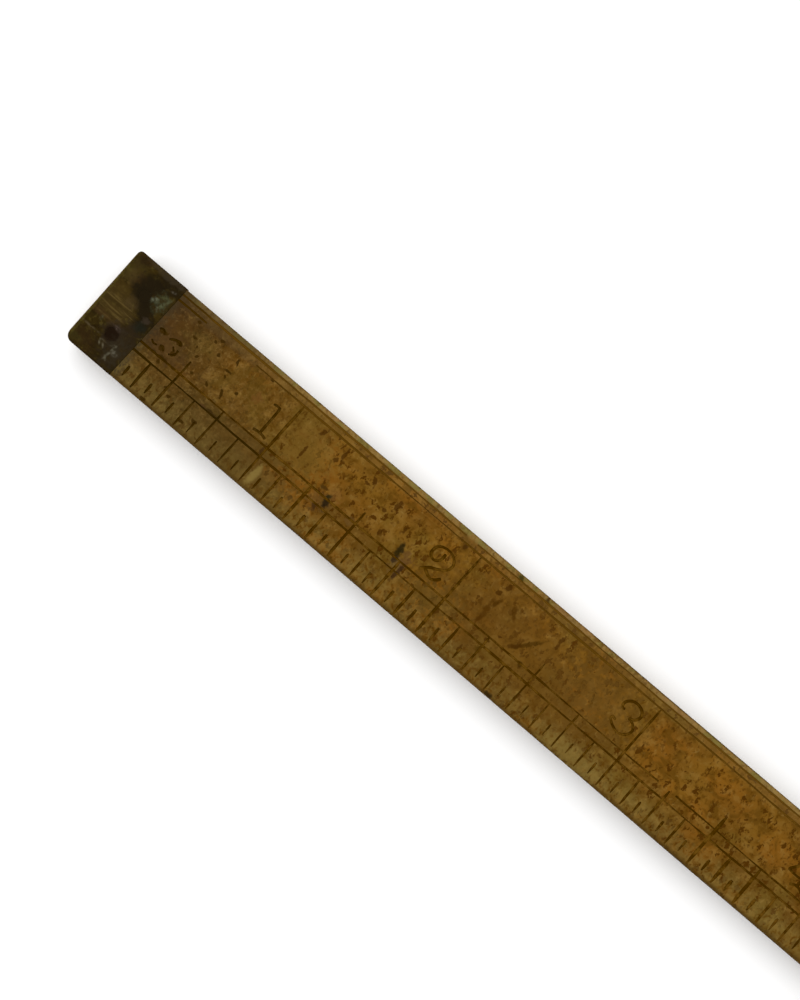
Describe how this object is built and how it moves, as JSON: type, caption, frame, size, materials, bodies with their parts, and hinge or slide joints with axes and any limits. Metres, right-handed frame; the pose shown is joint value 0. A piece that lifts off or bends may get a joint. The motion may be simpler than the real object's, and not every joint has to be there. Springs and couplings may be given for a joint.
{
  "type": "folding ruler",
  "caption": "Two-foot boxwood folding rule: four flat legs, a round brass joint between its arms, knuckle hinges in each arm and brass tips.",
  "frame": {"origin": "axis of the round main joint, in the plane of the underside", "axes": "+Z out of the graduated faces; the left arm runs along -X with its graduated edge towards -Y; the right arm stands open from it by 35 degrees on the +Y side"},
  "size_m": [0.3159, 0.1977, 0.007],
  "materials": {
    "boxwood": "worn, waxed",
    "brass": "dull, tarnished",
    "steel": "worn"
  },
  "bodies": {
    "inner_arm_left": {"inner_leg_left": "boxwood", "main_joint_rivets_left": "brass", "left_hinge_inner_leaf": "brass", "left_hinge_inner_rivets": "brass", "left_hinge_pin": "steel", "main_joint_upper_leaf": "brass", "main_joint_lower_leaf": "brass", "main_joint_pivot": "brass"},
    "outer_arm_left": {"outer_leg_left": "boxwood", "end_tip_left": "brass", "tip_rivets_left": "brass", "left_hinge_outer_leaf": "brass", "left_hinge_outer_rivets": "brass"},
    "inner_arm_right": {"inner_leg_right": "boxwood", "main_joint_rivets_right": "brass", "right_hinge_inner_leaf": "brass", "right_hinge_inner_rivets": "brass", "right_hinge_pin": "steel", "main_joint_middle_leaf": "brass", "closing_pin_inner": "steel"},
    "outer_arm_right": {"outer_leg_right": "boxwood", "end_tip_right": "brass", "tip_rivets_right": "brass", "right_hinge_outer_leaf": "brass", "right_hinge_outer_rivets": "brass", "closing_pin_outer": "steel"}
  },
  "joints": [
    {"name": "main_joint", "type": "hinge", "parent": "inner_arm_left", "child": "inner_arm_right", "pos_m": [0, 0, 0], "axis": [0, 0, 1], "range_deg": [-145, 35]},
    {"name": "left_hinge", "type": "hinge", "parent": "inner_arm_left", "child": "outer_arm_left", "pos_m": [-0.1524, 0, 0.0049], "axis": [0, 1, 0], "range_deg": [0, 180]},
    {"name": "right_hinge", "type": "hinge", "parent": "inner_arm_right", "child": "outer_arm_right", "pos_m": [-0.12484, 0.08741, 0.0049], "axis": [0.5736, 0.8192, 0], "range_deg": [0, 180]}
  ]
}
